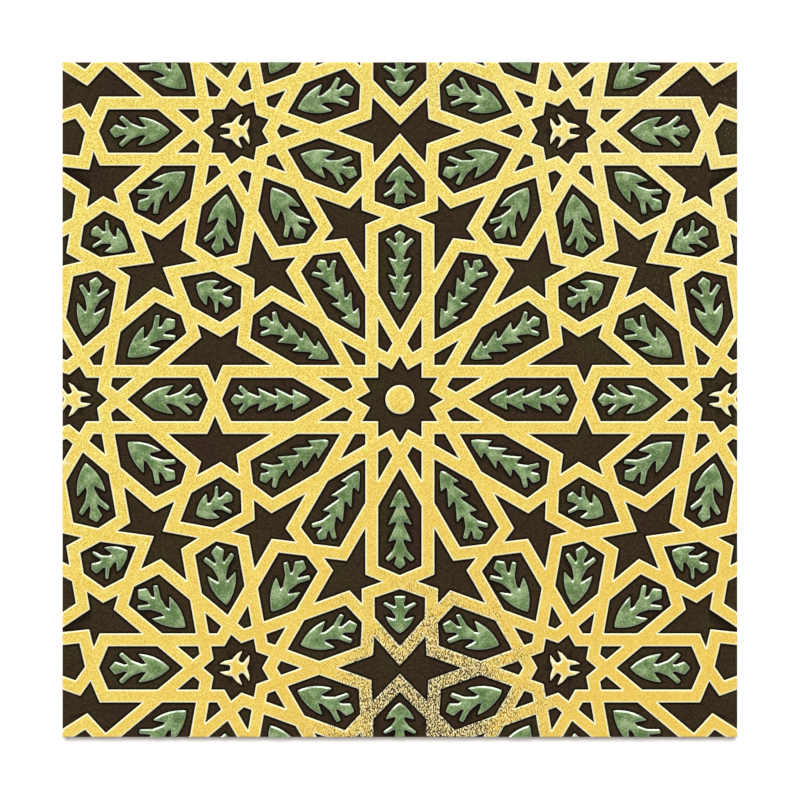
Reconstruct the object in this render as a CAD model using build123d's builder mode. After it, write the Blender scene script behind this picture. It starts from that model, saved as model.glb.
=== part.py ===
# Relief tile: a twelve-point rosette among nine-point rosettes, with leaves in the long cells.
# The face is mirrored about both middle lines, so all places below are for the upper right quarter.

import os
from math import atan2, cos, degrees, radians, sin

from build123d import *

# Whole tile, millimetres
tile_side = 200.0
tile_thickness = 8.0
ground_depth = 0.9
strap_depth = 0.35

# Square keys pressed in the back
key_count = 6
key_pitch = 31.5
key_side = 26.0
key_depth = 0.8

# Strap net: pitch is the distance from a rosette's centre to the straps around it
strap_width = 3.8
rosette_pitch = 8.33
crossing_angle = 67.0
side_star_x = 96.7
corner_star_x = 48.25
corner_star_y = 79.55

# Petals: distance from the rosette's centre to the crossing at the outer end, and its direction
middle_east = (54.75, 0.0)
middle_30 = (52.2, 29.8)
middle_60 = (51.95, 59.1)
middle_north = (54.15, 90.0)
side_140 = (42.55, 141.8)
side_100 = (40.9, 100.7)
corner_east = (43.0, 0.0)
corner_low_east = (40.9, -38.3)
corner_south = (40.1, -80.6)
corner_low_west = (41.45, -160.0)
corner_high_west = (41.05, 159.5)
corner_cut_petal = 50.0

# Bow ties: middle of the waist and width of the waist along the straps' centre lines
side_bow = (71.6, 39.85)
side_bow_waist = 9.0
side_bow_tilt = 29.3
top_bow_y = 80.0
top_bow_waist = 7.95

# Single straps: length and direction from the crossing that they leave
run_30_low = (9.45, -33.8)
run_30_high = (8.65, 92.3)
run_north = (9.95, 19.1)
run_edge_cell = (22.55, 28.0)
run_edge_low = (8.35, -80.7)
run_edge_high = (9.4, 144.5)
run_edge_bend = (8.8, 99.8)
run_east_low = (9.65, -76.5)
run_east_high = (7.3, 55.3)
run_corner = (47.4, 19.5)

# Straps that run out over the tile's edge: length past the last crossing, and directions
run_out = 13.0
out_angles = {
    "edge": -28.0, "low": 33.8, "mid": 6.2, "high": -20.0, "corner_right": 32.7, "corner_left": 132.6,
}

# Leaves: distance from the rosette's centre to the tip of the head
fern_reach_square = 26.55
fern_reach_slant = 24.35
side_sprig_reaches = {180: 20.2, 140: 20.4, 100: 19.1}
corner_sprig_reaches = {
    0: 19.9, -40: 19.5, -80: 18.9, -120: 19.6, -160: 20.0, 160: 19.1, 120: 19.6, 80: 19.6, 40: 19.6,
}
bud_reach = 69.3
bud_direction = 29.6
bud_gap = 5.8
disc_radius = 4.3

ground_level = tile_thickness - ground_depth
strap_level = tile_thickness - strap_depth


def polar(centre, reach, angle):
    return (centre[0] + reach * cos(radians(angle)), centre[1] + reach * sin(radians(angle)))


def heading(start, end):
    return degrees(atan2(end[1] - start[1], end[0] - start[0]))


def meet(p, p_angle, q, q_angle):
    ux, uy = cos(radians(p_angle)), sin(radians(p_angle))
    vx, vy = cos(radians(q_angle)), sin(radians(q_angle))
    run = ((q[0] - p[0]) * vy - (q[1] - p[1]) * vx) / (ux * vy - uy * vx)
    return (p[0] + run * ux, p[1] + run * uy)


def west(point):
    return (-point[0], point[1])


def inset(corners, margin):
    count = len(corners)
    sides = [(corners[i - 1], corners[i]) for i in range(count)]
    turn = sum(start[0] * end[1] - end[0] * start[1] for start, end in sides)
    ring = corners if turn > 0 else corners[::-1]
    result = []
    for i in range(count):
        before, here, after = ring[i - 1], ring[i], ring[(i + 1) % count]
        first, second = heading(before, here), heading(here, after)
        on_first = polar(before, margin, first + 90)
        on_second = polar(here, margin, second + 90)
        result.append(meet(on_first, first, on_second, second))
    return result


class Rosette:
    def __init__(self, centre, points):
        self.centre = centre
        self.points = points
        self.step = 360 / points

    def ring(self, angle, steps):
        return polar(self.centre, rosette_pitch / sin(radians(steps * self.step / 2)), angle)

    def valley(self, angle):
        return self.ring(angle, 1)

    def star(self, first):
        outline = []
        for i in range(self.points):
            tip = first + i * self.step
            outline += [self.ring(tip, 2), self.ring(tip + self.step / 2, 3)]
        return outline

    def kite(self, angle):
        low, high = angle - self.step / 2, angle + self.step / 2
        return [self.ring(angle, 3), self.ring(low, 2), self.valley(angle), self.ring(high, 2)]

    def shoulder(self, angle, crossing, side):
        valley = self.valley(angle + side * self.step / 2)
        return meet(valley, angle, crossing, angle - side * crossing_angle)

    def petal(self, angle, crossing):
        low, high = angle - self.step / 2, angle + self.step / 2
        return [
            self.ring(angle, 2), self.valley(low), self.shoulder(angle, crossing, -1),
            crossing, self.shoulder(angle, crossing, 1), self.valley(high),
        ]


middle = Rosette((0.0, 0.0), 12)
side = Rosette((side_star_x, 0.0), 9)
corner = Rosette((corner_star_x, corner_star_y), 9)

# Crossings at the petals' ends
east = polar(middle.centre, *middle_east)
thirty = polar(middle.centre, *middle_30)
sixty = polar(middle.centre, *middle_60)
north = polar(middle.centre, *middle_north)
side_a = polar(side.centre, *side_140)
side_b = polar(side.centre, *side_100)
far_east = polar(corner.centre, *corner_east)
low_east = polar(corner.centre, *corner_low_east)
south = polar(corner.centre, *corner_south)
low_west = polar(corner.centre, *corner_low_west)
high_west = polar(corner.centre, *corner_high_west)

# Ends of the six-sided cells at the bow ties, then the bends of single straps
bow_inner = polar(side_bow, side_bow_waist / 2, side_bow_tilt + 180)
bow_outer = polar(side_bow, side_bow_waist / 2, side_bow_tilt)
bow_low = (0.0, top_bow_y - top_bow_waist / 2)
bow_high = (0.0, top_bow_y + top_bow_waist / 2)
bend_30_low = polar(thirty, *run_30_low)
bend_30_high = polar(thirty, *run_30_high)
bend_north = polar(north, *run_north)
edge = polar(bow_outer, *run_edge_cell)
edge_low = polar(edge, *run_edge_low)
edge_high = polar(edge, *run_edge_high)
bend_low = polar(edge, *run_edge_bend)
bend_mid = polar(far_east, *run_east_low)
bend_high = polar(far_east, *run_east_high)
bend_corner = polar(corner.centre, *run_corner)

# Where straps meet or end outside the tile
star_tip = meet(bend_low, out_angles["low"], bend_mid, out_angles["mid"])
edge_out = polar(edge, run_out, out_angles["edge"])
low_out = polar(bend_low, run_out, out_angles["low"])
mid_out = polar(bend_mid, run_out, out_angles["mid"])
high_out = polar(bend_high, run_out, out_angles["high"])
corner_right_out = polar(bend_corner, run_out, out_angles["corner_right"])
corner_left_out = polar(bend_corner, run_out, out_angles["corner_left"])
top_out = (high_west[0], tile_side)

middle_petals = {0: east, 30: thirty, 60: sixty, 90: north}
side_petals = {180: east, 140: side_a, 100: side_b}
corner_petals = {0: far_east, -40: low_east, -80: south, -120: sixty, -160: low_west, 160: high_west}
for angle in (120, 80, 40):
    corner_petals[angle] = polar(corner.centre, corner_cut_petal, angle)

# Cells of the rosettes, drawn along the straps' centre lines
cells = [middle.star(0), side.star(180), corner.star(0)]
cells += [middle.kite(angle) for angle in (15, 45, 75)]
cells += [side.kite(angle) for angle in (160, 120, 80)]
cells += [corner.kite(20 + 40 * i) for i in range(9)]
for rosette, petals in ((middle, middle_petals), (side, side_petals), (corner, corner_petals)):
    cells += [rosette.petal(angle, crossing) for angle, crossing in petals.items()]

# Five-pointed cells
cells.append([
    middle.valley(15), middle.shoulder(30, thirty, -1), thirty, bend_30_low, side_a,
    side.shoulder(140, side_a, 1), side.valley(160), side.shoulder(180, east, -1), east,
    middle.shoulder(0, east, 1),
])
cells.append([
    middle.valley(45), middle.shoulder(60, sixty, -1), sixty, corner.shoulder(-120, sixty, 1),
    corner.valley(-100), corner.shoulder(-80, south, -1), south, bend_30_high, thirty,
    middle.shoulder(30, thirty, 1),
])
cells.append([
    middle.valley(75), middle.shoulder(90, north, -1), north, bend_north, low_west,
    corner.shoulder(-160, low_west, 1), corner.valley(-140), corner.shoulder(-120, sixty, -1), sixty,
    middle.shoulder(60, sixty, 1),
])
cells.append([
    corner.valley(-20), corner.shoulder(-40, low_east, 1), low_east, edge_high, edge, bend_low, star_tip,
    bend_mid, far_east, corner.shoulder(0, far_east, -1),
])
cells.append([
    corner.valley(20), corner.shoulder(0, far_east, 1), far_east, bend_high, high_out, corner_right_out,
    bend_corner, meet(bend_corner, out_angles["corner_left"], corner.valley(20), 40),
])
cells.append([
    side_b, side.shoulder(100, side_b, -1), side.valley(80), polar(side.valley(80), run_out, 0),
    edge_out, edge, edge_low,
])
cells.append([
    corner.valley(140), corner.shoulder(120, corner_petals[120], 1), top_out, high_west,
    corner.shoulder(160, high_west, -1),
])

# Six-sided cells, whole and cut
cells.append([thirty, bend_30_low, side_a, bow_inner, south, bend_30_high])
cells.append([north, bend_north, low_west, bow_low, west(low_west), west(bend_north)])
cells.append([bow_outer, side_b, edge_low, edge, edge_high, low_east])
cells.append([bow_high, high_west, top_out, west(top_out), west(high_west)])
cells.append([far_east, bend_mid, mid_out, high_out, bend_high])
cells.append([edge, edge_out, low_out, bend_low])
cells.append([bend_corner, corner_right_out, corner_left_out])

# Bow ties
cells.append([
    side.valley(120), side.shoulder(140, side_a, -1), side_a, bow_inner, south,
    corner.shoulder(-80, south, 1), corner.valley(-60), corner.shoulder(-40, low_east, -1), low_east,
    bow_outer, side_b, side.shoulder(100, side_b, 1),
])
bow_half = [
    low_west, corner.shoulder(-160, low_west, -1), corner.valley(180), corner.shoulder(160, high_west, 1),
    high_west,
]
cells.append(bow_half + [bow_high] + [west(point) for point in reversed(bow_half)] + [bow_low])


def in_quarters(outlines):
    copies = {}
    for outline in outlines:
        for sx, sy in ((1, 1), (-1, 1), (1, -1), (-1, -1)):
            turned = [(sx * x, sy * y) for x, y in outline]
            centre_x = round(sum(x for x, y in turned) / len(turned), 2)
            centre_y = round(sum(y for x, y in turned) / len(turned), 2)
            copies[(centre_x, centre_y)] = turned
    return list(copies.values())


def quarter_spots(head, direction):
    x, y = round(head[0], 3), round(head[1], 3)
    turns = {(x, y): direction, (-x, y): 180 - direction, (-x, -y): 180 + direction, (x, -y): -direction}
    return [Location((*spot, 0), (0, 0, turn)) for spot, turn in turns.items()]


# Leaves, each with the tip of its head at the origin and its stem along -X
with BuildSketch() as fern:
    with BuildLine():
        Polyline(
            (0, 0), (-1.0, 1.0), (-5.4, 3.1), (-4.9, 1.25), (-5.5, 1.0), (-10.6, 3.5), (-9.6, 1.3),
            (-10.2, 0.95), (-15.6, 3.45), (-14.8, 1.25), (-15.4, 0.95), (-18.2, 2.1), (-20.6, 4.3),
            (-21.4, 3.4), (-19.7, 1.3), (-20.1, 0.9), (-22.3, 1.65), (-23.6, 0),
        )
        mirror(about=Plane.XZ)
    make_face()

with BuildSketch() as sprig:
    with BuildLine():
        ThreePointArc((0, 0), (-4.7, 3.2), (-9.4, 4.2))
        Polyline(
            (-9.4, 4.2), (-7.0, 1.3), (-8.2, 1.1), (-11.2, 2.2), (-14.15, 4.65), (-15.1, 3.8),
            (-12.55, 1.25), (-13.5, 0.95), (-16.2, 1.95), (-17.9, 0),
        )
        mirror(about=Plane.XZ)
    make_face()

with BuildSketch() as bud:
    with BuildLine():
        ThreePointArc((0, 0), (-2.2, 2.5), (-5.7, 4.05))
        Polyline(
            (-5.7, 4.05), (-4.5, 1.4), (-5.3, 1.15), (-7.4, 2.3), (-9.1, 4.75), (-9.7, 4.2),
            (-8.1, 1.3), (-8.8, 1.0), (-11.3, 1.65), (-12.1, 0),
        )
        mirror(about=Plane.XZ)
    make_face()

with BuildSketch() as wide_bud:
    with BuildLine():
        ThreePointArc((0, 0), (-2.0, 2.4), (-5.0, 4.2))
        Polyline(
            (-5.0, 4.2), (-4.2, 1.4), (-5.0, 1.2), (-7.0, 2.6), (-8.7, 5.0), (-9.3, 4.3),
            (-7.9, 1.5), (-8.5, 1.1), (-11.1, 1.7), (-11.1, 0),
        )
        mirror(about=Plane.XZ)
    make_face()

# Three-armed figure of the nine-pointed stars, made of three forks; this one opens along +X
with BuildSketch() as fork:
    with BuildLine():
        Polyline((-0.4, 0), (1.45, 2.5), (3.65, 2.1), (5.2, 1.2), (2.3, 0.85), (2.0, 0.5), (2.0, 0))
        mirror(about=Plane.XZ)
    make_face()

with BuildSketch() as figure:
    with PolarLocations(0, 3):
        add(fork.sketch)

fern_reaches = {0: fern_reach_square, 30: fern_reach_slant, 60: fern_reach_slant, 90: fern_reach_square}
fern_spots = []
for angle, reach in fern_reaches.items():
    fern_spots += quarter_spots(polar(middle.centre, reach, angle), angle + 180)

sprig_spots = []
for rosette, petals, reaches in (
    (side, side_petals, side_sprig_reaches), (corner, corner_petals, corner_sprig_reaches)
):
    for angle, crossing in petals.items():
        outward = heading(rosette.centre, crossing)
        sprig_spots += quarter_spots(polar(rosette.centre, reaches[angle], outward), outward + 180)

bud_spots = quarter_spots(polar(middle.centre, bud_reach, bud_direction), bud_direction)
bud_spots += quarter_spots(polar(bow_outer, bud_gap, heading(bow_outer, edge)), heading(edge, bow_outer))
wide_bud_spots = quarter_spots(polar(middle.centre, bud_reach, 90), 90)
wide_bud_spots += quarter_spots(polar(bow_high, bud_gap, 90), 270)

figure_spots = quarter_spots(side.centre, 180) + quarter_spots(corner.centre, 0)

openings = [inset(cell, strap_width / 2) for cell in cells]
faces = [Face(Wire.make_polygon([(x, y, ground_level) for x, y in o])) for o in in_quarters(openings)]

with BuildSketch(Plane.XY.offset(ground_level)) as leaves:
    with Locations(*fern_spots):
        add(fern.sketch)
    with Locations(*sprig_spots):
        add(sprig.sketch)
    with Locations(*bud_spots):
        add(bud.sketch)
    with Locations(*wide_bud_spots):
        add(wide_bud.sketch)
    Rectangle(tile_side, tile_side, mode=Mode.INTERSECT)

with BuildSketch(Plane.XY.offset(ground_level)) as gilding:
    with Locations(*figure_spots):
        add(figure.sketch)
    Circle(disc_radius)
    Rectangle(tile_side, tile_side, mode=Mode.INTERSECT)

with BuildPart() as tile:
    with BuildSketch():
        Rectangle(tile_side, tile_side)
    extrude(amount=strap_level)
    extrude(faces, amount=strap_level - ground_level, dir=(0, 0, 1), mode=Mode.SUBTRACT)
    extrude(leaves.sketch, amount=tile_thickness - ground_level)
    extrude(gilding.sketch, amount=strap_level - ground_level)
    with BuildSketch():
        with GridLocations(key_pitch, key_pitch, key_count, key_count):
            Rectangle(key_side, key_side)
    extrude(amount=key_depth, mode=Mode.SUBTRACT)

os.makedirs("parts", exist_ok=True)
tile.part.label = "tile"
export_step(tile.part, "parts/tile.step")
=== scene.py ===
# Relief tile with gilded straps, brown ground and green leaves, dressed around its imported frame.
# Outlines come from the frame and are worked in millimetres; meshes and materials are in metres.

import math
from collections import defaultdict

import bpy
import numpy as np
from mathutils.geometry import delaunay_2d_cdt
from mathutils.kdtree import KDTree
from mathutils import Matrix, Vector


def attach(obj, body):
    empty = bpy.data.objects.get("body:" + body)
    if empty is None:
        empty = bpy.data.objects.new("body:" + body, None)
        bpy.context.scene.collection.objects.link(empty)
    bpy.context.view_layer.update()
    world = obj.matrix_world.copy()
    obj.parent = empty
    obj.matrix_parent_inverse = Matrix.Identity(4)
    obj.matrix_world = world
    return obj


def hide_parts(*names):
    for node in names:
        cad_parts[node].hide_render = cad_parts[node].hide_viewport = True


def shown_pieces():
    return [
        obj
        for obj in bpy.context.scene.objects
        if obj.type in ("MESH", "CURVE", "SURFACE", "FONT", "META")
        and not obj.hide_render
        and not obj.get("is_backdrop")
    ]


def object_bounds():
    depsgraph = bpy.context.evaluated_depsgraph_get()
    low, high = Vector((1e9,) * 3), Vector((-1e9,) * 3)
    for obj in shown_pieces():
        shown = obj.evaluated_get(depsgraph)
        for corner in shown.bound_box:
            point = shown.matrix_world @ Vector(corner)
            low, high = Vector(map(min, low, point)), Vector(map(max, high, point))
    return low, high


bl_info = {
    "name": "Relief Tile",
    "version": (1, 0, 0),
    "blender": (4, 5, 0),
    "location": "View3D > Sidebar > Tile",
    "description": "Builds a gilded and glazed relief tile on its frame",
    "category": "Add Mesh",
}

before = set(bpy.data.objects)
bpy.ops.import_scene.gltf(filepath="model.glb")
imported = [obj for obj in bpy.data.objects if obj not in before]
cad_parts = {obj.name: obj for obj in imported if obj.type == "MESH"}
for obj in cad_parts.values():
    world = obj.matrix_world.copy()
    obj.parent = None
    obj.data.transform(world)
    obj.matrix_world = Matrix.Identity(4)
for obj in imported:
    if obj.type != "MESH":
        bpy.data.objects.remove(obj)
cad_box = [list(corner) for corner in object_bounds()]
tile_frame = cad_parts["tile"].data
MM = 0.001

# A face is flat when this much of its normal points straight up or down
FLAT = 0.99
# In mm: heights this close are one level, and points this near the tile's outer edge lie on it
SAME_LEVEL = 0.005
ON_EDGE = 0.01

# In radians: a corner that turns right by more than the first is rounded by points at the second
ROUNDED_TURN = 0.3
FAN_STEP = 0.5
# Keeps the corners of a shifted outline from running far out
LEAST_COSINE = 0.15
# Share of its gap that a row of points has to keep to all outlines
KEPT_GAP = 0.93


# Outlines of the frame

def flat_levels(side):
    """Heights in mm of the frame's flat faces that look up (1) or down (-1), lowest first."""
    faces = [face for face in tile_frame.polygons if face.normal.z * side > FLAT]
    return sorted({round(face.center.z / MM, 3) for face in faces})


def rims(edges):
    """Closed chains of the directed edges of a net that have no face on their right."""
    following = defaultdict(list)
    for start, end in sorted(edges):
        if (end, start) not in edges:
            following[start].append(end)
    chains = []
    while following:
        chain, here = [], min(following)
        while here in following:
            chain.append(here)
            ahead = following[here].pop()
            if not following[here]:
                del following[here]
            here = ahead
        chains.append(chain)
    return chains


def outlines(level, side):
    """Closed outlines in mm of the flat faces at one height, each with its faces on the left."""
    edges = set()
    for face in tile_frame.polygons:
        if abs(face.center.z / MM - level) > SAME_LEVEL or face.normal.z * side < FLAT:
            continue
        places = [tile_frame.vertices[i].co for i in face.vertices]
        ring = [(round(place.x / MM, 3), round(place.y / MM, 3)) for place in places][::side]
        edges.update(zip(ring, ring[1:] + ring[:1]))
    return [np.array(rim) for rim in rims(edges)]


def segments_of(loops):
    """Straight pieces of the outlines, as an array of start and end points."""
    return np.concatenate([np.stack([loop, np.roll(loop, -1, 0)], 1) for loop in loops])


def distance(points, segments, part_length=1.5, closest=10):
    """Distance from each point to the nearest straight piece, looked for among the closest parts."""
    parts = []
    for start, end in segments:
        count = max(1, math.ceil(np.linalg.norm(end - start) / part_length))
        marks = start + (end - start) * np.arange(count + 1)[:, None] / count
        parts.append(np.stack([marks[:-1], marks[1:]], 1))
    parts = np.concatenate(parts)
    tree = KDTree(len(parts))
    for i, (x, y) in enumerate(parts.mean(1)):
        tree.insert((x, y, 0), i)
    tree.balance()
    count = min(closest, len(parts))
    close = np.array([[found[1] for found in tree.find_n((x, y, 0), count)] for x, y in points])
    start, along = parts[close, 0], parts[close, 1] - parts[close, 0]
    gap = points[:, None] - start
    share = np.clip((gap * along).sum(2) / np.maximum((along ** 2).sum(2), 1e-12), 0, 1)
    return np.sqrt(((gap - share[..., None] * along) ** 2).sum(2).min(1))


def inside(points, segments, batch_size=200):
    """Whether each point lies between the outlines."""
    order = np.argsort(points[:, 1])
    low, high = segments[:, :, 1].min(1), segments[:, :, 1].max(1)
    result = np.zeros(len(points), bool)
    for batch in np.array_split(order, len(points) // batch_size + 1):
        x, y = points[batch, :1], points[batch, 1:]
        (x1, y1), (x2, y2) = segments[(low <= y.max()) & (high >= y.min())].transpose(1, 2, 0)
        slope = (x2 - x1) / np.where(y2 == y1, 1, y2 - y1)
        crossed = ((y1 <= y) != (y2 <= y)) & (x1 + (y - y1) * slope > x)
        result[batch] = crossed.sum(1) % 2 == 1
    return result


def shifted(loop, gap):
    """The outline moved to its left by a gap, round where it turns right."""
    ahead = np.roll(loop, -1, 0) - loop
    ahead /= np.linalg.norm(ahead, axis=1)[:, None]
    result = []
    for place, first, second in zip(loop, np.roll(ahead, 1, 0), ahead):
        turn = math.atan2(first[0] * second[1] - first[1] * second[0], first @ second)
        normal_angle = math.atan2(first[0], -first[1])
        if turn > -ROUNDED_TURN:
            reach, angle = gap / max(math.cos(turn / 2), LEAST_COSINE), normal_angle + turn / 2
            result.append(place + reach * np.array((math.cos(angle), math.sin(angle))))
            continue
        count = max(2, round(-turn / FAN_STEP))
        for i in range(count + 1):
            angle = normal_angle + turn * i / count
            result.append(place + gap * np.array((math.cos(angle), math.sin(angle))))
    return np.array(result)


def rows_along(loops, segments, gap):
    """Straight pieces of a row of points that keeps its gap to all outlines."""
    row = segments_of([shifted(loop, gap) for loop in loops])
    least = np.minimum(distance(row[:, 0], segments), distance(row[:, 1], segments))
    least = np.minimum(least, distance(row.mean(1), segments))
    return row[least > KEPT_GAP * gap]


def triangulate(points, edges, merge_gap=1e-4, least_area=1e-7):
    """Corners and counterclockwise triangles of a net through the points that holds the edges."""
    made = delaunay_2d_cdt([tuple(p) for p in points], [tuple(e) for e in edges], [], 0, merge_gap)
    corners = np.array([tuple(place) for place in made[0]])
    triangles = np.array(made[2])
    a, b, c = (corners[triangles[:, i]] for i in range(3))
    doubled = (b[:, 0] - a[:, 0]) * (c[:, 1] - a[:, 1]) - (b[:, 1] - a[:, 1]) * (c[:, 0] - a[:, 0])
    triangles[doubled < 0] = triangles[doubled < 0][:, ::-1]
    return corners, triangles[np.abs(doubled) > least_area]


def fill(loops, rows=(), spots=()):
    """Corners and triangles of the area between the outlines, with rows and single spots in it."""
    segments = segments_of(loops)
    pieces = [segments] + [row for row in rows if len(row)]
    points = np.concatenate([piece.reshape(-1, 2) for piece in pieces] + [np.reshape(spots, (-1, 2))])
    edge_count = sum(len(piece) for piece in pieces)
    edges = np.arange(2 * edge_count).reshape(-1, 2)
    corners, triangles = triangulate(points, edges)
    return corners, triangles[inside(corners[triangles].mean(1), segments)]


def rim_loops(triangles):
    """Ordered corner numbers round the open edges of a net of triangles."""
    return rims({(t[i], t[(i + 1) % 3]) for t in triangles.tolist() for i in range(3)})


def divided(loop, step):
    """The outline with points added along its straight pieces."""
    result = []
    for start, end in zip(loop, np.roll(loop, -1, 0)):
        count = max(1, round(np.linalg.norm(end - start) / step))
        result += [start + (end - start) * i / count for i in range(count)]
    return np.array(result)


def softened(ring, half_side):
    """The outline with rounded corners, still straight where it lies on the tile's edge."""
    fixed = (np.abs(ring) > half_side - ON_EDGE).any(1)
    mean = (np.roll(ring, 1, 0) + np.roll(ring, -1, 0)) / 2
    return np.where(fixed[:, None], ring, (ring + mean) / 2)


def hexagon_spots(loop, spacing, margin):
    """Points of an even net inside an outline that keep a margin to it."""
    (left, low), (right, high) = loop.min(0), loop.max(0)
    rows = np.arange(low, high, spacing * math.sqrt(0.75))
    columns = np.arange(left, right, spacing)
    spots = np.array([(x + spacing / 2 * (i % 2), y) for i, y in enumerate(rows) for x in columns])
    segments = segments_of([loop])
    return spots[inside(spots, segments) & (distance(spots, segments) > margin)]


def eased(value):
    """Rises from 0 to 1, steep at first and level at the end."""
    return 1 - (1 - np.clip(value, 0, 1)) ** 2


class Shell:
    """Vertices, faces and one value per vertex of a closed piece, gathered bit by bit in mm."""

    def __init__(self):
        self.places = []
        self.values = []
        self.faces = []
        self.finishes = []

    def add_points(self, flat, heights, values):
        """Adds points with one height and value each, or the same for all, and gives the first's number."""
        first = len(self.places)
        heights = np.broadcast_to(heights, len(flat))
        values = np.broadcast_to(values, len(flat))
        self.places += [(x, y, z) for (x, y), z in zip(flat, heights)]
        self.values += list(values)
        return first

    def add_ring(self, flat, height, values=0):
        """Adds a ring of points at one height and gives their numbers."""
        first = self.add_points(flat, height, values)
        return list(range(first, first + len(flat)))

    def add_faces(self, faces, finish=0):
        self.faces += [tuple(int(i) for i in face) for face in faces]
        self.finishes += [finish] * len(faces)

    def add_wall(self, upper, lower, finish=0):
        """Faces between two rings of as many corners; the upper one runs counterclockwise."""
        ahead = list(range(1, len(upper))) + [0]
        self.add_faces([(lower[i], lower[j], upper[j], upper[i]) for i, j in enumerate(ahead)], finish)

    def add_floor(self, rings, finish=0):
        """Closes the piece underneath, between rings that have its inside on their left."""
        numbers = [i for ring in rings for i in ring]
        flat = np.array([self.places[i][:2] for i in numbers])
        number_at = {(round(x, 4), round(y, 4)): i for (x, y), i in zip(flat, numbers)}
        loops = [np.array([self.places[i][:2] for i in ring]) for ring in rings]
        corners, triangles = fill(loops)
        named = [number_at[(round(x, 4), round(y, 4))] for x, y in corners]
        self.add_faces([[named[i] for i in triangle[::-1]] for triangle in triangles], finish)

    def add_relief(self, corners, triangles, heights, values, foot):
        """A raised form with a flat foot: its top, its walls and its underside."""
        first = self.add_points(corners, heights, values)
        self.add_faces(triangles + first)
        feet = []
        for loop in rim_loops(triangles):
            lower = self.add_ring(corners[loop], foot, values[loop])
            self.add_wall([first + i for i in loop], lower)
            feet.append(lower)
        self.add_floor(feet)

    def finish(self, name, value_name, materials, sharp=40):
        """The piece as an object that rides on the frame and stands for the frame's tile."""
        mesh = bpy.data.meshes.new(name)
        mesh.from_pydata([tuple(c * MM for c in place) for place in self.places], [], self.faces)
        mesh.polygons.foreach_set("material_index", self.finishes)
        for material in materials:
            mesh.materials.append(material)
        layer = mesh.attributes.new(value_name, "FLOAT", "POINT")
        layer.data.foreach_set("value", np.array(self.values, np.float32))
        mesh.shade_smooth()
        mesh.set_sharp_from_angle(angle=math.radians(sharp))
        mesh.validate()
        piece = bpy.data.objects.new(name, mesh)
        bpy.context.scene.collection.objects.link(piece)
        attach(piece, "root")
        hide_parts("tile")
        return piece


# Node helpers

def feed(tree, node, inputs):
    """Sets the inputs of a node, given as values or as the sockets that feed them."""
    for name, value in inputs.items():
        if isinstance(value, bpy.types.NodeSocket):
            tree.links.new(value, node.inputs[name])
        else:
            node.inputs[name].default_value = value


def put(tree, kind, inputs=None, **settings):
    """Adds a node with its settings and inputs."""
    node = tree.nodes.new("ShaderNode" + kind)
    for name, value in settings.items():
        setattr(node, name, value)
    feed(tree, node, inputs or {})
    return node


def maths(tree, operation, first, second=0.0, third=0.0):
    return put(tree, "Math", {0: first, 1: second, 2: third}, operation=operation).outputs[0]


def mixture(tree, first, share, second):
    """The first value with its share, and the second with the rest."""
    return maths(tree, "MULTIPLY_ADD", first, share, maths(tree, "MULTIPLY", second, 1 - share))


def moved(tree, value, low, high, new_low=0.0, new_high=1.0, way="LINEAR"):
    """The value moved from one range to another, and held inside it."""
    ends = {"Value": value, "From Min": low, "From Max": high, "To Min": new_low, "To Max": new_high}
    return put(tree, "MapRange", ends, interpolation_type=way).outputs["Result"]


def opaque(colour):
    return (*colour, 1.0)


def blend_colours(tree, share, low, high, way="MIX"):
    node = put(tree, "Mix", {0: share, 6: low, 7: high}, data_type="RGBA", blend_type=way)
    return node.outputs[2]


def laid_over(tree, mask, strength, base, colour):
    """The base with a colour laid over it where the mask says."""
    return blend_colours(tree, maths(tree, "MULTIPLY", mask, strength), base, opaque(colour))


def three_colours(tree, share, low, middle, high):
    """Runs through three colours; the outer two are pure below a fifth and above four fifths."""
    ramp = put(tree, "ValToRGB", {"Fac": share})
    stops = ramp.color_ramp.elements
    stops[0].position, stops[0].color = 0.2, opaque(low)
    stops[1].position, stops[1].color = 0.8, opaque(high)
    stops.new(0.5).color = opaque(middle)
    return ramp.outputs["Color"]


def bump(tree, height, strength, depth, under=None):
    """The normal of a surface with hollows of this depth, on top of the bump under it."""
    inputs = {"Height": height, "Strength": strength, "Distance": depth}
    if under is not None:
        inputs["Normal"] = under
    return put(tree, "Bump", inputs).outputs[0]


def attribute(tree, name):
    return put(tree, "Attribute", attribute_name=name).outputs["Fac"]


def object_place(tree):
    return put(tree, "TexCoord").outputs["Object"]


# Shared effects

def new_group(name, inputs, outputs):
    """A node group with named sockets: its tree, its inputs and its outputs."""
    tree = bpy.data.node_groups.new(name, "ShaderNodeTree")
    for label, kind, default in inputs:
        socket = tree.interface.new_socket(label, in_out="INPUT", socket_type="NodeSocket" + kind)
        socket.default_value = default
    for label, kind in outputs:
        tree.interface.new_socket(label, in_out="OUTPUT", socket_type="NodeSocket" + kind)
    entry = tree.nodes.new("NodeGroupInput")
    leave = tree.nodes.new("NodeGroupOutput")
    return tree, entry.outputs, leave


def make_grain_group():
    """Soft cloudy variation of one size, even over the whole surface."""
    tree, given, result = new_group(
        "Grain",
        [("Size", "Float", 0.4 * MM), ("Contrast", "Float", 1.0), ("Detail", "Float", 2.0)],
        [("Value", "Float")],
    )
    scale = maths(tree, "DIVIDE", 1.0, given["Size"])
    noise = put(tree, "TexNoise", {"Vector": object_place(tree), "Scale": scale, "Detail": given["Detail"]})
    spread = maths(tree, "MULTIPLY_ADD", noise.outputs["Fac"], given["Contrast"])
    centred = maths(tree, "MULTIPLY", given["Contrast"], 0.5)
    lowered = maths(tree, "SUBTRACT", spread, centred)
    value = put(tree, "Math", {0: lowered, 1: 0.5}, operation="ADD", use_clamp=True).outputs[0]
    feed(tree, result, {"Value": value})


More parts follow.
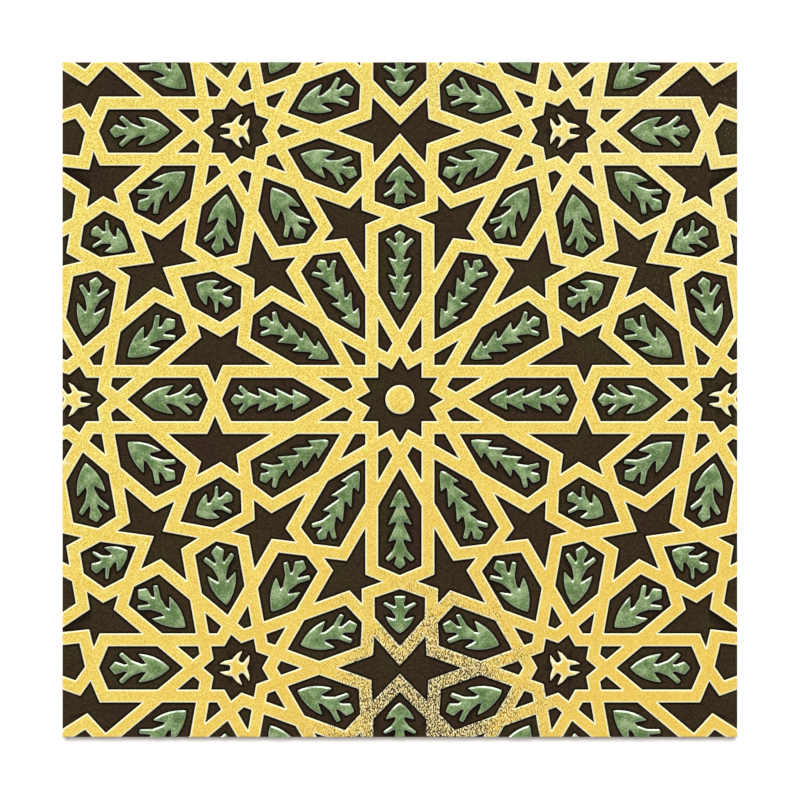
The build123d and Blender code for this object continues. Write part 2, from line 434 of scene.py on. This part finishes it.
def make_zone_group():
    """A soft round zone with a ragged border, strongest at its middle."""
    tree, given, result = new_group(
        "Zone",
        [("Middle", "Vector", (0, 0, 0)), ("Reach", "Float", 20 * MM), ("Stretch", "Vector", (1, 1, 1))],
        [("Mask", "Float")],
    )
    where = object_place(tree)
    offset = put(tree, "VectorMath", {0: where, 1: given["Middle"]}, operation="SUBTRACT").outputs[0]
    squeezed = put(tree, "VectorMath", {0: offset, 1: given["Stretch"]}, operation="DIVIDE").outputs[0]
    away = put(tree, "VectorMath", {0: squeezed}, operation="LENGTH").outputs["Value"]
    share = maths(tree, "DIVIDE", away, given["Reach"])
    noise = put(tree, "TexNoise", {"Vector": where, "Scale": 130.0, "Detail": 2.0}).outputs["Fac"]
    ragged = maths(tree, "MULTIPLY_ADD", noise, 0.7, -0.35)
    level = maths(tree, "ADD", share, ragged)
    feed(tree, result, {"Mask": moved(tree, level, 1.0, 0.25, way="SMOOTHSTEP")})


def make_pits_group():
    """Short slanting flecks whose number grows with the amount, and pale ones between them."""
    tree, given, result = new_group(
        "Pits",
        [("Size", "Float", 0.5 * MM), ("Amount", "Float", 0.5), ("Slant", "Float", 0.9)],
        [("Mask", "Float"), ("Pale", "Float"), ("Height", "Float")],
    )
    turn = put(tree, "CombineXYZ", {"Z": given["Slant"]}).outputs[0]
    placing = {"Vector": object_place(tree), "Rotation": turn, "Scale": (1.0, 0.55, 1.0)}
    slanted = put(tree, "Mapping", placing).outputs[0]
    scale = maths(tree, "DIVIDE", 1.0, given["Size"])
    noise = put(tree, "TexNoise", {"Vector": slanted, "Scale": scale, "Detail": 1.5, "Roughness": 0.6})
    depth = maths(tree, "SUBTRACT", noise.outputs["Fac"], 0.5)
    least_depth = moved(tree, given["Amount"], 0.0, 1.0, 0.16, -0.015)
    present = moved(tree, given["Amount"], 0.0, 0.05)
    above = maths(tree, "SUBTRACT", depth, least_depth)
    dark = maths(tree, "MULTIPLY", moved(tree, above, 0.0, 0.035, way="SMOOTHSTEP"), present)
    # Where the gilding uses them, the pale flecks beside the dark ones are painted glints.
    below = maths(tree, "SUBTRACT", maths(tree, "MULTIPLY", depth, -1.0), least_depth)
    pale = maths(tree, "MULTIPLY", moved(tree, below, 0.0, 0.05), present)
    feed(tree, result, {"Mask": dark, "Pale": pale, "Height": maths(tree, "SUBTRACT", 1.0, dark)})


group_makers = {"Grain": make_grain_group, "Zone": make_zone_group, "Pits": make_pits_group}


def place_group(tree, name, inputs):
    """Places a shared effect, which is built when it is first asked for, and gives its outputs."""
    if name not in bpy.data.node_groups:
        group_makers[name]()
    return put(tree, "Group", inputs, node_tree=bpy.data.node_groups[name]).outputs


def grain(tree, size, contrast, detail):
    return place_group(tree, "Grain", {"Size": size, "Contrast": contrast, "Detail": detail})["Value"]


# Places on the face where the finish differs, in metres
zones = {
    "warm": {"Middle": (0.05, -0.13, 0.008), "Reach": 0.19, "Stretch": (1.3, 1.0, 1.0)},
    "paler_patch": {"Middle": (0.1, 0.1, 0.008), "Reach": 0.1},
    # The worn spot low in the middle, where the gilding has dark pits and painted glints.
    "worn_and_glinting": {"Middle": (0.009, -0.1, 0.008), "Reach": 0.062, "Stretch": (0.75, 1.0, 1.0)},
    "dotted": {"Middle": (0.008, 0.093, 0.008), "Reach": 0.022, "Stretch": (1.0, 0.8, 1.0)},
    "specked": {"Middle": (0.08, 0.07, 0.008), "Reach": 0.08},
}


def zone(tree, name):
    return place_group(tree, "Zone", zones[name])["Mask"]


def new_material(name, **settings):
    """A material with its tree and shader; settings go on the shader's own sockets."""
    material = bpy.data.materials.new(name)
    material.use_nodes = True
    tree = material.node_tree
    tree.nodes.clear()
    shader = put(tree, "BsdfPrincipled", {label.replace("_", " "): v for label, v in settings.items()})
    put(tree, "OutputMaterial", {"Surface": shader.outputs[0]})
    return material, tree, shader


def rgb(red, green, blue):
    """A colour written as an ordinary screen colour, as its linear values."""
    parts = [c / 255 for c in (red, green, blue)]
    return [c / 12.92 if c <= 0.04045 else ((c + 0.055) / 1.055) ** 2.4 for c in parts]


# Settings

def colour_setting(name, description, screen_colour):
    return bpy.props.FloatVectorProperty(
        name=name, description=description, subtype="COLOR", size=3, min=0, max=1,
        default=rgb(*screen_colour),
    )


def length_setting(name, description, default):
    return bpy.props.FloatProperty(
        name=name, description=description, subtype="DISTANCE", unit="LENGTH", default=default, min=0,
    )


def share_setting(name, description, default):
    return bpy.props.FloatProperty(
        name=name, description=description, subtype="FACTOR", default=default, min=0, max=1,
    )


class GlazeSettings(bpy.types.PropertyGroup):
    """Colours and lengths of the brown glaze, and the colour of the clay"""

    ground: colour_setting("Ground", "Brown glaze between the straps", (66, 56, 34))
    ground_red: colour_setting("Red ground", "Brown where the glaze runs redder", (65, 48, 35))
    # Painted shade: the dark line is a near-black band laid into the ground's colour along the foot of the
    # straps and leaves, where their walls shade the ground. Its width setting is how far this painted shade
    # reaches.
    line: colour_setting("Dark line", "Glaze that pools against the relief", (14, 8, 3))
    speck: colour_setting("Speck", "Small pale specks in the brown glaze", (150, 134, 118))
    line_width: length_setting("Line width", "Reach of the pooled glaze from the relief", 0.9 * MM)
    bisque: colour_setting("Bisque", "Bare fired clay of the sides and the back", (203, 182, 152))
    bisque_pit: colour_setting("Clay pit", "Dark flecks in the bare clay", (120, 92, 66))


class GildingSettings(bpy.types.PropertyGroup):
    """Colours and lengths of the gilding"""

    gold: colour_setting("Gold", "Main colour of the straps", (250, 225, 104))
    pale_gold: colour_setting("Pale gold", "Lighter grains of the gilding", (254, 242, 146))
    deep_gold: colour_setting("Deep gold", "Darker grains of the gilding", (220, 181, 54))
    warm_gold: colour_setting("Warm gold", "Tone of the gilding where it turns redder", (238, 192, 78))
    rim: colour_setting("Rim", "Cream line along the straps' edges", (255, 249, 202))
    rim_width: length_setting("Rim width", "Reach of the cream line from the edge", 0.55 * MM)
    edge_round: length_setting("Edge rounding", "Rounding of the straps' edges", 0.14 * MM)
    pit: colour_setting("Pit", "Dark flecks in the worn places", (64, 42, 16))
    grain_size: length_setting("Grain size", "Size of the grains in the gilding", 0.26 * MM)


class LeafSettings(bpy.types.PropertyGroup):
    """Colours and lengths of the enamelled leaves"""

    green: colour_setting("Green", "Middle green of the enamel", (118, 148, 84))
    deep_green: colour_setting("Deep green", "Enamel where it lies thick", (80, 114, 46))
    pale_green: colour_setting("Pale green", "Enamel where it lies thin", (166, 192, 132))
    # Partly painted highlight: the edge colour lays a pale band on the bevel all round each leaf to help
    # the white highlights on the lit edges. Partly it is enamel that breaks pale over the edges.
    edge_white: colour_setting("Edge", "Enamel that breaks pale over the edges", (222, 230, 204))
    bevel: length_setting("Bevel", "Width of the leaves' sloping edge", 0.5 * MM)
    crown: length_setting("Crown", "Distance over which the leaves swell", 2.0 * MM)
    step: length_setting("Step", "Spacing of the points along a leaf", 0.34 * MM)


class StageSettings(bpy.types.PropertyGroup):
    """Camera and light"""

    lens: bpy.props.FloatProperty(
        name="Lens", description="Focal length of the camera", subtype="DISTANCE_CAMERA",
        default=200, min=20,
    )
    picture_width: length_setting("Picture width", "Width that the picture shows at the tile", 237.04 * MM)
    raking: share_setting("Raking light", "Share of the light that comes low from the picture's top", 0.6)
    overhead: share_setting("Overhead light", "Share of the light that comes from above", 0.2)


# Materials

def make_gilding(settings):
    material, tree, shader = new_material("gilding", Specular_IOR_Level=0.3)
    fine = grain(tree, settings.grain_size, contrast=4.4, detail=2.0)
    broad = grain(tree, 9 * MM, contrast=1.6, detail=3.0)
    grained = three_colours(
        tree, mixture(tree, fine, 0.8, broad), settings.deep_gold, settings.gold, settings.pale_gold,
    )
    toned = laid_over(tree, zone(tree, "warm"), 0.55, grained, settings.warm_gold)
    # The gilding turns paler towards the upper right.
    paler_patch = laid_over(tree, zone(tree, "paler_patch"), 0.16, toned, settings.rim)
    edged = blend_colours(tree, attribute(tree, "rim"), paler_patch, opaque(settings.rim))
    dotted = maths(tree, "MULTIPLY", zone(tree, "dotted"), 0.3)
    wear_and_glints = maths(tree, "MAXIMUM", zone(tree, "worn_and_glinting"), dotted)
    pits = place_group(tree, "Pits", {"Size": 0.38 * MM, "Amount": wear_and_glints})
    # Painted highlight: pale cream flecks beside the dark pits stand in for glints of the rough gold. The
    # dark pits are the gilding's own wear.
    with_painted_glints = laid_over(tree, pits["Pale"], 0.6, edged, settings.rim)
    darkness = maths(tree, "MULTIPLY_ADD", wear_and_glints, 0.62, 0.38)
    grains = bump(tree, fine, 0.25, 0.03 * MM)
    feed(tree, shader, {
        "Base Color": laid_over(tree, pits["Mask"], darkness, with_painted_glints, settings.pit),
        "Normal": bump(tree, pits["Height"], 0.7, 0.08 * MM, grains),
        "Roughness": maths(tree, "MULTIPLY_ADD", fine, 0.2, 0.38),
    })
    return material


def make_ground(settings):
    material, tree, shader = new_material("brown_glaze", Specular_IOR_Level=0.06)
    broad = grain(tree, 14 * MM, contrast=3.6, detail=2.0)
    fine = grain(tree, 0.7 * MM, contrast=3.0, detail=3.0)
    base = blend_colours(tree, broad, opaque(settings.ground), opaque(settings.ground_red))
    dark = blend_colours(tree, 1.0, base, opaque((0.45, 0.45, 0.45)), "MULTIPLY")
    grained = blend_colours(tree, fine, dark, base)
    # Sparse pale specks in the brown glaze, more of them towards the upper right.
    amount = maths(tree, "MULTIPLY", zone(tree, "specked"), 0.04)
    specks = place_group(tree, "Pits", {"Size": 0.5 * MM, "Amount": amount})["Mask"]
    specked = laid_over(tree, specks, 0.4, grained, settings.speck)
    # The 'line' attribute paints shade: the ground's colour darkens to the dark line at the foot of the
    # relief.
    feed(tree, shader, {
        "Base Color": blend_colours(tree, attribute(tree, "line"), specked, opaque(settings.line)),
        "Roughness": maths(tree, "MULTIPLY_ADD", fine, 0.2, 0.45),
        "Normal": bump(tree, fine, 0.15, 0.02 * MM),
    })
    return material


def make_enamel(settings):
    material, tree, shader = new_material(
        "green_enamel", Specular_IOR_Level=1.0, Coat_IOR=2.1, Coat_Roughness=0.18, Coat_Weight=1.0,
    )
    patches = grain(tree, 3.5 * MM, contrast=2.6, detail=2.0)
    fine = grain(tree, 0.6 * MM, contrast=2.6, detail=3.0)
    clouded = three_colours(
        tree, mixture(tree, patches, 0.55, fine), settings.deep_green, settings.green, settings.pale_green,
    )
    # The 'slope' attribute lays the pale edge colour over the bevels, partly as painted highlight and
    # partly as enamel that breaks pale over the edges.
    feed(tree, shader, {
        "Base Color": laid_over(tree, attribute(tree, "slope"), 0.28, clouded, settings.edge_white),
        "Roughness": maths(tree, "MULTIPLY_ADD", fine, 0.14, 0.15),
        "Normal": bump(tree, fine, 0.2, 0.03 * MM),
    })
    return material


def make_bisque(settings):
    """Bare clay, with the brown glaze that has run over the upper edge."""
    material, tree, shader = new_material("bisque", Specular_IOR_Level=0.25)
    broad = grain(tree, 14 * MM, contrast=2.2, detail=4.0)
    fine = grain(tree, 0.7 * MM, contrast=2.4, detail=4.0)
    dark = blend_colours(tree, 1.0, opaque(settings.bisque), opaque((0.8, 0.74, 0.66)), "MULTIPLY")
    clay = blend_colours(tree, mixture(tree, broad, 0.6, fine), dark, opaque(settings.bisque))
    pits = place_group(tree, "Pits", {"Size": 0.9 * MM, "Amount": 0.25, "Slant": 0.3})
    pitted = laid_over(tree, pits["Mask"], 0.5, clay, settings.bisque_pit)
    height = put(tree, "SeparateXYZ", {0: object_place(tree)}).outputs["Z"]
    wavy = maths(tree, "MULTIPLY_ADD", broad, 2.2 * MM, height)
    run = moved(tree, wavy, 7.3 * MM, 7.7 * MM, way="SMOOTHSTEP")
    grains = bump(tree, fine, 0.5, 0.08 * MM)
    feed(tree, shader, {
        "Base Color": blend_colours(tree, run, pitted, opaque(settings.ground)),
        "Roughness": maths(tree, "MULTIPLY_ADD", run, -0.4, 0.85),
        "Normal": bump(tree, pits["Height"], 0.6, 0.1 * MM, grains),
    })
    return material


# Shapes, in mm

ground_level, strap_level, leaf_level = flat_levels(1)
back_level, key_level = flat_levels(-1)
half_side = cad_box[1][0] / MM

# Numbers of the body's two materials, and spacing of the points along its upper edge
GLAZE, BISQUE = 0, 1
BODY_STEP = 5.0
# Insets and heights of the rings down the tile's side, which rounds off its lower edge
SIDE_RINGS = ((0.0, 4.0), (0.0, 0.7), (0.12, 0.35), (0.35, 0.12), (0.7, back_level))
# Widening of the keys towards their mouths
KEY_SLOPE = 0.15

# Spacing of the points along the straps
STRAP_STEP = 1.5
# Share of its width over which the cream line is full, before it fades
FULL_RIM = 0.65

# The boss and the figures are smaller than this, in square mm, and have more corners than this
FIGURE_AREA = 90
FIGURE_CORNERS = 20
# Spacing of their points along the edge and inside, and depths from the edge of the rows between
FIGURE_STEP, FIGURE_SPACING = 0.3, 0.5
FIGURE_ROWS = (0.12, 0.3)
# Width and height of their rounded edge
FIGURE_ROUND, FIGURE_DROP = 0.35, 0.2

# Shares of a leaf's height in its upright edge, its bevel and its crown
LEAF_EDGE, LEAF_BEVEL, LEAF_CROWN = 0.54, 0.3, 0.16
LEAF_SHARP_ANGLE = 20


def relief_outlines():
    """Outlines of the strap net, then those of the boss and the figures, which stand alone."""
    net, single = [], []
    for loop in outlines(strap_level, 1):
        x, y = loop.T
        area = (x * np.roll(y, -1) - y * np.roll(x, -1)).sum() / 2
        small = 0 < area < FIGURE_AREA and len(loop) > FIGURE_CORNERS
        (single if small else net).append(loop)
    return net, single


def off_edge(segments):
    """Leaves out the straight pieces that lie on the tile's outer edge."""
    start, end = np.abs(segments[:, 0]), np.abs(segments[:, 1])
    on_edge = ((start > half_side - ON_EDGE) & (end > half_side - ON_EDGE)).any(1)
    return segments[~on_edge]


def relief_form(loop, step, gaps, spacing):
    """Corners, triangles and depths from the edge of one small raised form."""
    ring = softened(divided(loop, step), half_side)
    segments = segments_of([ring])
    rows = [rows_along([ring], segments, gap) for gap in gaps]
    spots = hexagon_spots(ring, spacing, gaps[-1] + 0.6 * spacing)
    corners, triangles = fill([ring], rows, spots)
    return corners, triangles, distance(corners, off_edge(segments))


def rim_of(depth, width):
    """Strength of the cream line at a depth from the edge."""
    return 1 - np.clip((depth / width - FULL_RIM) / (1 - FULL_RIM), 0, 1)


class TILE_OT_make_body(bpy.types.Operator):
    """Brown glazed ground on a bisque body with keys pressed in the back"""

    bl_idname = "relief_tile.make_body"
    bl_label = "Make Body"

    def execute(self, context):
        settings = context.scene.tile_glaze
        shell = Shell()
        outer, ring = self.add_ground(shell, settings.line_width / MM)
        for inset, height in SIDE_RINGS:
            below = shell.add_ring(outer * (1 - inset / half_side), height)
            shell.add_wall(ring, below, BISQUE)
            ring = below
        feet = [ring]
        for loop in outlines(key_level, -1):
            mouth = shell.add_ring(shifted(loop, -KEY_SLOPE), back_level)
            deep = shell.add_ring(loop, key_level)
            shell.add_faces([deep[::-1]], BISQUE)
            shell.add_wall(deep, mouth, BISQUE)
            feet.append(mouth[::-1])
        shell.add_floor(feet, BISQUE)
        shell.finish("glazed_body", "line", [make_ground(settings), make_bisque(settings)])
        return {"FINISHED"}

    def add_ground(self, shell, line_width):
        """The ground, with rows of points along the relief; gives its outer ring and their numbers."""
        square = np.array([(-1, -1), (1, -1), (1, 1), (-1, 1)]) * half_side
        raised = outlines(strap_level, 1) + outlines(leaf_level, 1)
        relief = segments_of(raised)
        around = [loop[::-1] for loop in raised]
        rows = [relief] + [rows_along(around, relief, share * line_width) for share in (0.4, 1.0)]
        rows = [row[(np.abs(row) < half_side - 2 * ON_EDGE).all((1, 2))] for row in rows]
        corners, triangles = fill([divided(square, BODY_STEP)], rows)
        near = distance(corners, off_edge(relief))
        # The 'line' value is painted shade, full at the foot of the straps and leaves and gone at the
        # line's width.
        shell.add_points(corners, ground_level, 1 - np.clip(near / line_width, 0, 1) ** 2)
        shell.add_faces(triangles, GLAZE)
        numbers = rim_loops(triangles)[0]
        return corners[numbers], numbers


class TILE_OT_make_gilding(bpy.types.Operator):
    """Gilded strap net, with the boss in the middle and the three-armed figures"""

    bl_idname = "relief_tile.make_gilding"
    bl_label = "Make Gilding"

    def execute(self, context):
        settings = context.scene.tile_gilding
        gilding = make_gilding(settings)
        width, radius = settings.rim_width / MM, settings.edge_round / MM
        net, single = relief_outlines()
        net = [divided(loop, STRAP_STEP) for loop in net]
        segments = segments_of(net)
        gaps = (0.3 * radius, radius, FULL_RIM * width, width)
        corners, triangles = fill(net, [rows_along(net, segments, gap) for gap in gaps])
        heights = strap_level - radius * (1 - eased(distance(corners, segments) / radius))
        rim = rim_of(distance(corners, off_edge(segments)), width)
        shell = Shell()
        shell.add_relief(corners, triangles, heights, rim, ground_level)
        shell.finish("gilded_straps", "rim", [gilding])

        shell = Shell()
        for loop in single:
            corners, triangles, depth = relief_form(loop, FIGURE_STEP, FIGURE_ROWS, FIGURE_SPACING)
            heights = strap_level - FIGURE_DROP * (1 - eased(depth / FIGURE_ROUND))
            shell.add_relief(corners, triangles, heights, rim_of(depth, width), ground_level)
        shell.finish("gilded_boss_and_figures", "rim", [gilding])
        return {"FINISHED"}


class TILE_OT_make_leaves(bpy.types.Operator):
    """Swelling enamelled leaves in the long cells"""

    bl_idname = "relief_tile.make_leaves"
    bl_label = "Make Leaves"

    def execute(self, context):
        settings = context.scene.tile_leaves
        bevel, crown, step = settings.bevel / MM, settings.crown / MM, settings.step / MM
        rise = leaf_level - ground_level
        gaps = (0.3 * bevel, 0.65 * bevel, bevel)
        shell = Shell()
        for loop in outlines(leaf_level, 1):
            corners, triangles, depth = relief_form(loop, step, gaps, 1.1 * step)
            climb = np.clip(depth / bevel, 0, 1)
            swell = LEAF_EDGE + LEAF_BEVEL * climb + LEAF_CROWN * eased(depth / crown)
            # The 'slope' value, 1 at the outline and 0 where the bevel ends, carries the pale edge, which
            # is partly painted highlight.
            shell.add_relief(corners, triangles, ground_level + rise * swell, 1 - climb, ground_level)
        shell.finish("green_leaves", "slope", [make_enamel(settings)], LEAF_SHARP_ANGLE)
        return {"FINISHED"}


# Stage

FLOOR_REACH = 3
FLOOR_WHITE = (0.95, 0.95, 0.95, 1)
FLOOR_GLOW = 0.14
WHITE = (1, 1, 1, 1)
# Heights on the sky between which the white walls end and the dim ceiling begins
WALL_TOP, CEILING = 0.25, 0.35
# Lean from straight above and apparent width of the lamps, in degrees
RAKING_LEAN, RAKING_WIDTH = 52, 40
OVERHEAD_LEAN, OVERHEAD_WIDTH = 12, 14
# Turns of the raking lamps from the picture's top to the left, in degrees
RAKING_TURNS = {"left_raking_light": 32, "right_raking_light": -14}
# Where the camera stands over the tile, in mm
CAMERA_SPOT = (0.04, -0.12)


def background_rays(tree):
    """1 for the rays that show the background, to the camera or in a reflection."""
    path = put(tree, "LightPath").outputs
    mirrored = maths(tree, "MAXIMUM", path["Is Glossy Ray"], path["Is Transmission Ray"])
    return maths(tree, "MAXIMUM", path["Is Camera Ray"], mirrored)


def add_floor(scene):
    """A matt white floor that looks a little brighter than it lights the tile."""
    mesh = bpy.data.meshes.new("floor")
    corners = [(x * FLOOR_REACH, y * FLOOR_REACH, 0) for x, y in ((-1, -1), (1, -1), (1, 1), (-1, 1))]
    mesh.from_pydata(corners, [], [(0, 1, 2, 3)])
    floor = bpy.data.objects.new("floor", mesh)
    floor.location.z = -0.02 * MM
    scene.collection.objects.link(floor)
    floor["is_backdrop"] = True
    material = bpy.data.materials.new("white_floor")
    material.use_nodes = True
    tree = material.node_tree
    tree.nodes.clear()
    matt = put(tree, "BsdfDiffuse", {"Color": FLOOR_WHITE}).outputs[0]
    glow = put(tree, "Emission", {"Color": WHITE, "Strength": FLOOR_GLOW}).outputs[0]
    lit = put(tree, "AddShader", {0: matt, 1: glow}).outputs[0]
    surface = put(tree, "MixShader", {0: background_rays(tree), 1: matt, 2: lit}).outputs[0]
    put(tree, "OutputMaterial", {"Surface": surface})
    mesh.materials.append(material)
    return floor


def add_room(scene, ambient):
    """Even light all round, with walls that show white to the camera and in reflections."""
    world = bpy.data.worlds.new("white_room")
    world.use_nodes = True
    tree = world.node_tree
    tree.nodes.clear()
    height = put(tree, "SeparateXYZ", {0: put(tree, "TexCoord").outputs["Generated"]}).outputs["Z"]
    walls = moved(tree, height, CEILING, WALL_TOP)
    white = maths(tree, "MULTIPLY", background_rays(tree), walls)
    strength = moved(tree, white, 0.0, 1.0, ambient, 1.0)
    sky = put(tree, "Background", {"Color": WHITE, "Strength": strength}).outputs[0]
    put(tree, "OutputWorld", {"Surface": sky})
    scene.world = world


def add_sun(scene, name, share, lean, turn, width):
    """A distant lamp; lean is from straight above, and turn from the picture's top to the left."""
    lamp = bpy.data.lights.new(name, "SUN")
    lamp.energy = share * math.pi / math.cos(math.radians(lean))
    lamp.angle = math.radians(width)
    sun = bpy.data.objects.new(name, lamp)
    sun.rotation_euler = (math.radians(-lean), 0, math.radians(turn))
    scene.collection.objects.link(sun)
    return sun


def add_lamps(scene, floor, raking, overhead):
    """A soft lamp above all, raking lamps for the tile, and in their place one from above for the floor."""
    pieces = bpy.data.collections.new("raked_pieces")
    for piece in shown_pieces():
        pieces.objects.link(piece)
    ground = bpy.data.collections.new("lit_floor")
    ground.objects.link(floor)
    above = add_sun(scene, "overhead_light", overhead, OVERHEAD_LEAN, 0, OVERHEAD_WIDTH)
    above.visible_glossy = False
    for name, turn in RAKING_TURNS.items():
        low = add_sun(scene, name, raking / len(RAKING_TURNS), RAKING_LEAN, turn, RAKING_WIDTH)
        low.light_linking.receiver_collection = pieces
    lift = add_sun(scene, "floor_light", raking, OVERHEAD_LEAN, 0, OVERHEAD_WIDTH)
    lift.light_linking.receiver_collection = ground


def add_camera(scene, settings):
    """A camera that looks straight down on the straps from as far as its lens needs."""
    lens = bpy.data.cameras.new("camera")
    lens.lens = settings.lens
    lens.clip_end = 20
    camera = bpy.data.objects.new("camera", lens)
    away = settings.lens / lens.sensor_width * settings.picture_width
    x, y = CAMERA_SPOT
    camera.location = (x * MM, y * MM, strap_level * MM + away)
    scene.collection.objects.link(camera)
    scene.camera = camera


class TILE_OT_make_stage(bpy.types.Operator):
    """Pale floor, soft lamps and a camera that looks straight down"""

    bl_idname = "relief_tile.make_stage"
    bl_label = "Make Stage"

    def execute(self, context):
        scene = context.scene
        settings = scene.tile_stage
        scene.view_settings.view_transform = "Standard"
        floor = add_floor(scene)
        add_room(scene, 1 - settings.raking - settings.overhead)
        add_lamps(scene, floor, settings.raking, settings.overhead)
        add_camera(scene, settings)
        return {"FINISHED"}


steps = (
    (TILE_OT_make_body, "tile_glaze", GlazeSettings),
    (TILE_OT_make_gilding, "tile_gilding", GildingSettings),
    (TILE_OT_make_leaves, "tile_leaves", LeafSettings),
    (TILE_OT_make_stage, "tile_stage", StageSettings),
)


class TILE_PT_panel(bpy.types.Panel):
    """Buttons and settings of the tile"""

    bl_idname = "TILE_PT_panel"
    bl_label = "Relief Tile"
    bl_space_type = "VIEW_3D"
    bl_region_type = "UI"
    bl_category = "Tile"

    def draw(self, context):
        for operator, name, _ in steps:
            box = self.layout.box()
            box.operator(operator.bl_idname)
            settings = getattr(context.scene, name)
            for label in settings.__annotations__:
                box.prop(settings, label)


def register():
    for operator, name, settings in steps:
        bpy.utils.register_class(settings)
        setattr(bpy.types.Scene, name, bpy.props.PointerProperty(type=settings))
        bpy.utils.register_class(operator)
    bpy.utils.register_class(TILE_PT_panel)


def unregister():
    bpy.utils.unregister_class(TILE_PT_panel)
    for operator, name, settings in reversed(steps):
        bpy.utils.unregister_class(operator)
        delattr(bpy.types.Scene, name)
        bpy.utils.unregister_class(settings)


def main():
    register()
    bpy.ops.relief_tile.make_body()
    bpy.ops.relief_tile.make_gilding()
    bpy.ops.relief_tile.make_leaves()
    bpy.ops.relief_tile.make_stage()


if __name__ == "__main__":
    main()
